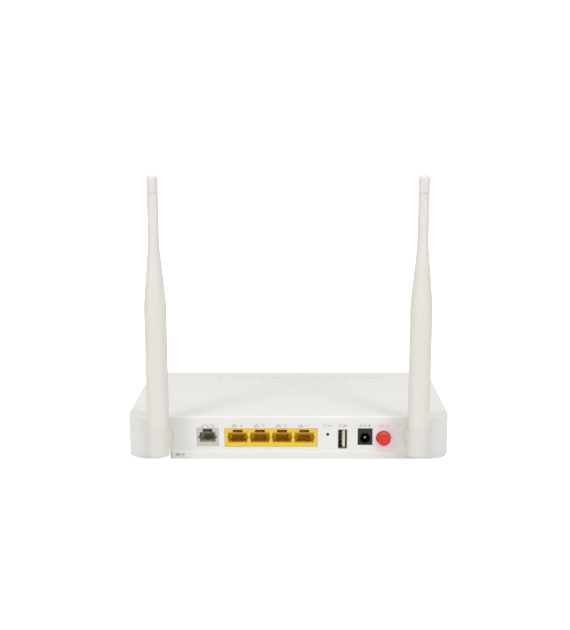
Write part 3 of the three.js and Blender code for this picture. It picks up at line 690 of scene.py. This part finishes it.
def build_phone():
    x = middle("phone_jack").x
    floor, top, half, depth, insert = 10.6, 17, 4.9, 13, 10.4
    cavity = prism_y(plug_outline(x, floor, top, half, 5.75, 3.1, 19.2), SOCKET_FACE - 2, SOCKET_FACE + depth)
    body = cut(housing(phone_lo, phone_hi, PHONE_BOTTOM), cavity)
    finished("phone_housing", body, GREY, nodes=["phone_jack"], bevel=0.16)
    comb = comb_insert(x, half - 0.05, floor, 15, insert, depth, 6, 13.6)
    finished("phone_comb", comb, GREY, bevel=0.06, segments=1)
    inner = contact_wires(x, floor, 3.8, 12.2, 2, 2.4)
    outer = contact_wires(x, floor, 9.5, 12.2, 2, 2.4, pitch=3 * CONTACT_PITCH)
    wires = merged(inner, outer)
    finished("phone_spring_wires", wires, GOLD, nodes=["phone_contacts"], smooth=60)


def build_usb():
    sheet = 0.3
    shell = cut(
        block((usb_lo.x, usb_hi.x), (usb_lo.y, usb_hi.y), (usb_lo.z, usb_hi.z)),
        block((usb_lo.x + sheet, usb_hi.x - sheet), (-2, usb_hi.y + 1), (usb_lo.z + sheet, usb_hi.z - sheet)),
    )
    finished("usb_sleeve", shell, NICKEL, nodes=["usb_shell"], bevel=0.12)
    x, z = (usb_lo.x + usb_hi.x) / 2, (usb_lo.z + usb_hi.z) / 2
    tongue_lo, tongue_hi = local_box("usb_tongue")
    tongue = joined(
        block((x - 0.1, x + 1.65), (tongue_lo.y, 16), (z - 5.5, z + 5.5)),
        block((tongue_lo.x, tongue_hi.x), (14, tongue_hi.y), (z - 5.45, z + 5.45)),
    )
    finished("usb_tongue_block", tongue, PALE, nodes=["usb_tongue"], bevel=0.15)
    springs = []
    path = [(0.12, 2.6), (0.95, 2.9), (1.2, 3.6), (0.9, 6), (0.15, 13.9)]
    for row in (-3.5, -1, 1, 3.5):
        ends = (z + row - 0.55, z + row + 0.55)
        outline = [(x - 0.1 - out, y) for out, y in path] + [(x - 0.12, 13.9), (x - 0.12, 2.2)]
        springs.append(prism_z(outline, *ends))
    finished("usb_springs", merged(*springs), BRONZE, smooth=50)


def build_dc():
    x = (dc_lo.x + dc_hi.x) / 2
    z = middle("dc_jack_pin").z
    bore = [(0, -2), (3.45, -2), (3.45, SOCKET_FACE), (3.1, SOCKET_FACE + 0.4), (3.1, 11), (0, 11)]
    key_places = [x + side * 1.6 for side in (-1, 1)]
    keys = [block((kx - 0.45, kx + 0.45), (-1, 9), (z + 2, z + 3.7)) for kx in key_places]
    body = cut(housing(dc_lo, dc_hi, DC_BOTTOM), turned(bore, 48, "Y", (x, 0, z)), *keys)
    finished("dc_housing", body, BLACK, nodes=["dc_jack_body"], bevel=0.15)
    pin_lo, pin_hi = local_box("dc_jack_pin")
    profile = [(0, pin_lo.y), (0.45, pin_lo.y + 0.05), (0.8, pin_lo.y + 0.3), (1.0, pin_lo.y + 0.75)]
    profile += [(1.0, pin_hi.y), (0, pin_hi.y)]
    finished("dc_pin", turned(profile, 32, "Y", (x, 0, z)), STEEL, nodes=["dc_jack_pin"])


def build_button():
    lo, hi = local_box("power_button")
    x, z = button_middle.x, button_middle.z
    out = lo.y
    profile = [(0, out + 0.1), (2, out + 0.06), (3, out), (3.4, out + 0.08), (3.75, out + 0.3)]
    profile += [(4.05, out + 0.68), (4.21, out + 1.1), (BUTTON_RADIUS, out + 1.6)]
    profile += [(BUTTON_RADIUS, 3.5), (0, 3.5)]
    cap = turned(profile, 64, "Y", (x, 0, z))
    stem = block((x - 1.5, x + 1.5), (3.4, hi.y), (z - 1.5, z + 1.5))
    key = merged(cap, stem)
    finished("power_key", key, RED, "power_key", ["power_button"], smooth=50)


build_lan()
build_phone()
build_usb()
build_dc()
build_button()

# ------------------------------------------------------------------ printed marks, all generic

INK_LIFT = 0.03
LINE = 0.26  # width of the usual stroke
MARK_ROW = 21.3  # height of the marks over the sockets


def ribbon(points, width, closed=False):
    """A flat stroke along points (u, v): a thin plate from -INK_LIFT to INK_LIFT in its third direction."""
    count = len(points)
    spots = [Vector(p) for p in points]
    rings = []
    for i, spot in enumerate(spots):
        before = spots[(i - 1) % count] if closed or i else spot
        after = spots[(i + 1) % count] if closed or i < count - 1 else spot
        into, out = (spot - before).normalized(), (after - spot).normalized()
        along = (into + out).normalized()
        across = Vector((-along.y, along.x))
        reach = width / 2 / max(0.5, abs(across.dot(Vector((-out.y, out.x)) if out.length else across)))
        left, right = spot + across * reach, spot - across * reach
        corners = ((left, INK_LIFT), (right, INK_LIFT), (right, -INK_LIFT), (left, -INK_LIFT))
        rings.append([Vector((p.x, p.y, h)) for p, h in corners])
    if not closed:
        return join_rings(rings)
    bm = bmesh.new()
    made = [[bm.verts.new(p) for p in ring] for ring in rings]
    for i in range(count):
        low, high = made[i], made[(i + 1) % count]
        for k in range(4):
            m = (k + 1) % 4
            bm.faces.new((low[k], low[m], high[m], high[k]))
    return bm


def arc(cu, cv, radius, start, end, steps=12):
    turns = [math.radians(start + (end - start) * i / steps) for i in range(steps + 1)]
    return [(cu + radius * math.cos(a), cv + radius * math.sin(a)) for a in turns]


def ring(cu, cv, radius):
    return arc(cu, cv, radius, 0, 360 - 22.5, 15)


def frame_of(cu, cv, half_u, half_v):
    corners = ((-1, -1), (1, -1), (1, 1), (-1, 1))
    return [(cu + su * half_u, cv + sv * half_v) for su, sv in corners]


def numeral(value, cu):
    """A port number, 2 mm tall."""
    u0, u1 = cu - 0.55, cu + 0.55
    shapes = {
        1: [(cu - 0.35, 0.6), (cu + 0.1, 1), (cu + 0.1, -1)],
        2: [(u0, 0.75), (cu, 1), (u1, 0.6), (u1 - 0.1, 0.15), (u0, -1), (u1, -1)],
        3: [(u0, 0.85), (cu, 1), (u1, 0.6), (cu, 0.05), (u1, -0.5), (cu, -1), (u0, -0.85)],
        4: [(cu + 0.25, -1), (cu + 0.25, 1), (u0, -0.4), (u1, -0.4)],
    }
    return ribbon(shapes[value], LINE)


def network_mark(value):
    boxes = [(-2.2, 0.6), (-3.2, -0.65), (-1.2, -0.65)]
    parts = [ribbon(frame_of(u, v, 0.42, 0.3), LINE, True) for u, v in boxes]
    parts.append(ribbon([(-2.2, 0.3), (-2.2, 0)], LINE))
    parts.append(ribbon([(-3.2, -0.35), (-3.2, 0), (-1.2, 0), (-1.2, -0.35)], LINE))
    return merged(*parts, ribbon([(-0.2, 0), (0.9, 0)], LINE), numeral(value, 2.2))


def handset_mark():
    handle = ribbon(arc(-1.6, -1.9, 2.4, 48, 132), 0.45)
    ends = [ribbon([(side * 1.65 - 1.6, -0.05), (side * 2.1 - 1.6, -0.75)], 0.9) for side in (-1, 1)]
    keys = [ribbon([(u, v), (u + 0.5, v)], 0.4) for u in (1.6, 2.6, 3.6) for v in (-0.7, 0.05, 0.8)]
    return merged(handle, *ends, *keys)


def reset_mark():
    turn = ribbon(arc(-1.8, 0, 0.9, 120, 420), LINE)
    turn_head = ribbon([(-0.9, 1.15), (-1.38, 0.8), (-0.85, 0.3)], LINE)
    pointer = ribbon([(0.3, 0), (3.2, 0)], LINE)
    pointer_head = ribbon([(1.1, 0.7), (0.3, 0), (1.1, -0.7)], LINE)
    return merged(turn, turn_head, pointer, pointer_head)


def plug_mark():
    body = ribbon(frame_of(-0.5, 0, 1.6, 0.65), LINE, True)
    nose = ribbon([(1.1, 0.4), (2.4, 0.4), (2.4, -0.4), (1.1, -0.4)], LINE)
    return merged(body, nose, ribbon([(1.5, 0), (2, 0)], LINE), ribbon([(-2.1, 0), (-3, 0)], LINE))


def polarity_mark():
    parts = [ribbon(arc(0, 0, 0.85, 50, 310), LINE)]
    parts += [ribbon(stretch, LINE) for stretch in ([(-0.85, 0), (-2, 0)], [(0, 0), (2, 0)])]
    parts += [ribbon(ring(side * 2.75, 0, 0.7), LINE, True) for side in (-1, 1)]
    parts += [ribbon([(side * 2.75 - 0.4, 0), (side * 2.75 + 0.4, 0)], 0.2) for side in (-1, 1)]
    return merged(*parts, ribbon([(2.75, -0.4), (2.75, 0.4)], 0.2))


def power_mark():
    bar, circle = ribbon([(2.2, 0.2), (2.2, 1.1)], LINE), ribbon(arc(2.2, 0, 0.85, 125, 415), LINE)
    stroke, zero = ribbon([(-2.6, -0.9), (-2.6, 0.9)], LINE), ribbon(ring(-0.8, 0, 0.85), LINE, True)
    return merged(bar, circle, stroke, zero, ribbon([(-2.1, -0.9), (-1.7, 0.9)], LINE))


def fibre_mark():
    circles = [ribbon(ring(-2.1, 0, r), LINE, True) for r in (0.95, 0.35)]
    wave = [(0.2 + 0.25 * i, 0.45 * math.sin(i * math.pi / 3)) for i in range(10)]
    return merged(*circles, ribbon([(-1.1, 0), (0.2, 0)], LINE), ribbon(wave, LINE))


def printed(name, strokes, material, at, upright=True):
    """Lays strokes on the rear wall (upright) or on a level face."""
    for vertex in strokes.verts:
        u, v, lift = vertex.co
        vertex.co = Vector(at) + (Vector((u, -lift, v)) if upright else Vector((u, v, lift)))
    finished(name, strokes, material)


def build_marks():
    over = [
        ("phone", (phone_lo.x + phone_hi.x) / 2, handset_mark()),
        ("reset", reset_middle.x, reset_mark()),
        ("usb", (usb_lo.x + usb_hi.x) / 2, plug_mark()),
        ("power_in", (dc_lo.x + dc_hi.x) / 2, polarity_mark()),
        ("power_key", button_middle.x, power_mark()),
    ]
    over += [(f"network_{5 - i}", x, network_mark(5 - i)) for i, x in enumerate(LAN_JACKS, 1)]
    for name, x, strokes in over:
        printed(f"mark_{name}", strokes, INK, (x, panel_depth(MARK_ROW), MARK_ROW))
    printed("mark_fibre", fibre_mark(), DARK_INK, (-68, 0, 2.6))

    lights, pitch = middle("light_bar"), 10
    ticks = []
    for i in range(12):
        count = 3 + i % 3
        for k in range(count):
            u, tall = (i - 5.5) * pitch + (k - (count - 1) / 2) * 1.1, 0.75 + 0.25 * (-1) ** k
            ticks.append(ribbon([(u, -tall), (u, tall)], 0.55))
    at = (lights.x, lights.y, cover_height(DEPTH - lights.y))
    printed("mark_indicators", merged(*ticks), INK, at, False)


build_marks()

# ------------------------------------------------------------------ underside


def build_feet():
    low = local_box("foot_1")[0].z
    profile = [(0, low + 0.15), (3.6, low + 0.15), (3.8, low), (4.5, low)]
    profile += [(4.85, low + 0.12), (5, low + 0.45), (5, 0.5), (0, 0.5)]
    for i, p in enumerate(foot_places, 1):
        foot = turned(profile, 48, "Z", (p.x, p.y, 0))
        finished(f"foot_pad_{i}", foot, RUBBER, nodes=[f"foot_{i}"], smooth=50)


def build_screws():
    lo, hi = local_box("screw_1")
    profile = [(0, lo.z + 0.05), (1.6, lo.z), (2.3, lo.z + 0.12), (2.6, lo.z + 0.4), (2.7, lo.z + 0.8)]
    profile += [(2.7, 2.6), (1.25, 2.6), (1.25, hi.z - 1), (0.4, hi.z), (0, hi.z)]
    for i, p in enumerate(screw_places, 1):
        arms = []
        for a, b in ((1.6, 0.33), (0.33, 1.6)):
            arms.append(block((p.x - a, p.x + a), (p.y - b, p.y + b), (-1, lo.z + 1)))
        screw = cut(turned(profile, 40, "Z", (p.x, p.y, 0)), *arms)
        finished(f"case_screw_{i}", screw, STEEL, nodes=[f"screw_{i}"], bevel=0.05, segments=1)


def build_label():
    """A rating label with a ruled frame and no writing."""
    centre = middle("rating_label")
    half_x, half_y, corner = (label_hi.x - label_lo.x) / 2, (label_hi.y - label_lo.y) / 2, 2
    outline = []
    for quarter, (sx, sy) in enumerate(((1, 1), (-1, 1), (-1, -1), (1, -1))):
        for k in range(7):
            angle = math.pi / 2 * (quarter + k / 6)
            px = centre.x + sx * (half_x - corner) + corner * math.cos(angle)
            outline.append((px, centre.y + sy * (half_y - corner) + corner * math.sin(angle)))
    film = prism_z(outline, label_lo.z, label_hi.z)
    finished("label_film", film, LABEL, nodes=["rating_label"], bevel=0.05, segments=1)
    rules = [ribbon(frame_of(0, 0, half_x - 2, half_y - 2), 0.3, True)]
    rules += [ribbon([(2 - half_x, v), (half_x - 2, v)], 0.2) for v in (-11, -5.5, 0, 5.5, 11)]
    rules.append(ribbon([(-8, -11), (-8, 11)], 0.2))
    printed("label_rules", merged(*rules), INK, (centre.x, centre.y, label_lo.z), False)


build_feet()
build_screws()
build_label()

# ------------------------------------------------------------------ carried-over nodes

CARRIED = [
    (STEEL, ["wifi_shield", "antenna_left_retainer", "antenna_right_retainer"]),
    (BLACK, ["power_switch_body", "reset_switch_body", "reset_plunger"]),
    (GREEN, ["fibre_adapter"]),
    (CERAMIC, ["fibre_ferrule_sleeve"]),
    (ALUMINIUM, ["optical_transceiver", "heat_sink"]),
    (YELLOW, ["fibre_pigtail"]),
    (BOARD, ["main_board"]),
    (CHIP, ["processor", "memory_chip", "phone_line_chip", "power_inductor"]),
    (CHIP, ["lan_transformer_1", "lan_transformer_2"]),
    (CAPACITOR, ["capacitor_1", "capacitor_2", "capacitor_3"]),
    (CLEAR, ["light_bar"]),
    (BRASS, ["antenna_left_radiator", "antenna_right_radiator"]),
    (CABLE, [f"antenna_{s}_{k}" for s in ("left", "right") for k in ("coax", "lead")]),
]
for material, names in CARRIED:
    for name in names:
        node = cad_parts[name]
        node.data.materials.clear()
        node.data.materials.append(material)

# ------------------------------------------------------------------ room, light and camera

FLOOR_GLOW = 0.85  # keeps the floor pale to the camera; it lights nothing
AMBIENT = 0.35
BACKDROP = 1.15

floor_material = surface("floor", (0.96, 0.96, 0.96), 0.8, grain_mm=2, grain=0.02, mottle=0.003, specular=0.1)
floor_nodes, floor_links = floor_material.node_tree.nodes, floor_material.node_tree.links
floor_shader = floor_nodes["Principled BSDF"]
floor_shader.inputs["Emission Color"].default_value = (1, 1, 1, 1)
glow = floor_nodes.new("ShaderNodeMath")
glow.operation = "MULTIPLY"
glow.inputs[1].default_value = FLOOR_GLOW
floor_links.new(floor_nodes.new("ShaderNodeLightPath").outputs["Is Camera Ray"], glow.inputs[0])
floor_links.new(glow.outputs[0], floor_shader.inputs["Emission Strength"])
floor_mesh = bpy.data.meshes.new("floor")
floor_bm = bmesh.new()
bmesh.ops.create_grid(floor_bm, x_segments=4, y_segments=4, size=6)
floor_bm.to_mesh(floor_mesh)
floor_bm.free()
floor_mesh.materials.append(floor_material)
floor = bpy.data.objects.new("floor", floor_mesh)
scene.collection.objects.link(floor)

world = bpy.data.worlds.new("studio")
scene.world = world
world.use_nodes = True
world_nodes, world_links = world.node_tree.nodes, world.node_tree.links
seen = world_nodes.new("ShaderNodeLightPath").outputs["Is Camera Ray"]
strength = world_nodes.new("ShaderNodeMapRange")
strength.inputs["To Min"].default_value = AMBIENT
strength.inputs["To Max"].default_value = BACKDROP
world_links.new(seen, strength.inputs["Value"])
world_links.new(strength.outputs["Result"], world_nodes["Background"].inputs["Strength"])
world_nodes["Background"].inputs["Color"].default_value = (1, 0.985, 0.96, 1)


def soft_box(name, azimuth, elevation, distance, size, power):
    """An area light that faces the object, azimuth counted from the sockets' side towards +X."""
    a, e = math.radians(azimuth), math.radians(elevation)
    away = Vector((math.sin(a) * math.cos(e), -math.cos(a) * math.cos(e), math.sin(e)))
    light = bpy.data.lights.new(name, "AREA")
    light.shape = "RECTANGLE"
    light.size, light.size_y = size
    light.energy = power
    lamp = bpy.data.objects.new(name, light)
    lamp.location = Vector((0, 0, 0.05)) + away * distance
    lamp.rotation_mode = "QUATERNION"
    lamp.rotation_quaternion = away.to_track_quat("Z", "Y")
    scene.collection.objects.link(lamp)


soft_box("left_box", -39, 32, 1.3, (0.3, 0.6), 2.9)
soft_box("right_box", 34, 32, 1.3, (0.3, 0.6), 2.8)
soft_box("top_box", 0, 85, 2.8, (2.4, 2.4), 52)

# The camera stands where the matching of outlines put it, for a casing as deep as the CAD's.
CAMERA_BEHIND = 765
CAMERA_RIGHT = 4.6
CAMERA_HEIGHT = 213.3
PITCH = 13.4
YAW = 0.16
FOCAL = 1254.0
SENSOR = 36.0
LONG_SIDE = 630.0
SHIFT = (-0.0117, 0.152)

camera_data = bpy.data.cameras.new("camera")
camera_data.sensor_width = SENSOR
camera_data.lens = FOCAL / LONG_SIDE * SENSOR
camera_data.shift_x, camera_data.shift_y = SHIFT
camera_data.clip_start, camera_data.clip_end = 0.01, 50
camera = bpy.data.objects.new("camera", camera_data)
camera.location = place(CAMERA_RIGHT, -CAMERA_BEHIND, CAMERA_HEIGHT)
camera.rotation_euler = (math.radians(90 - PITCH), 0, math.radians(YAW))
scene.collection.objects.link(camera)
scene.camera = camera
scene.view_settings.view_transform = "Standard"
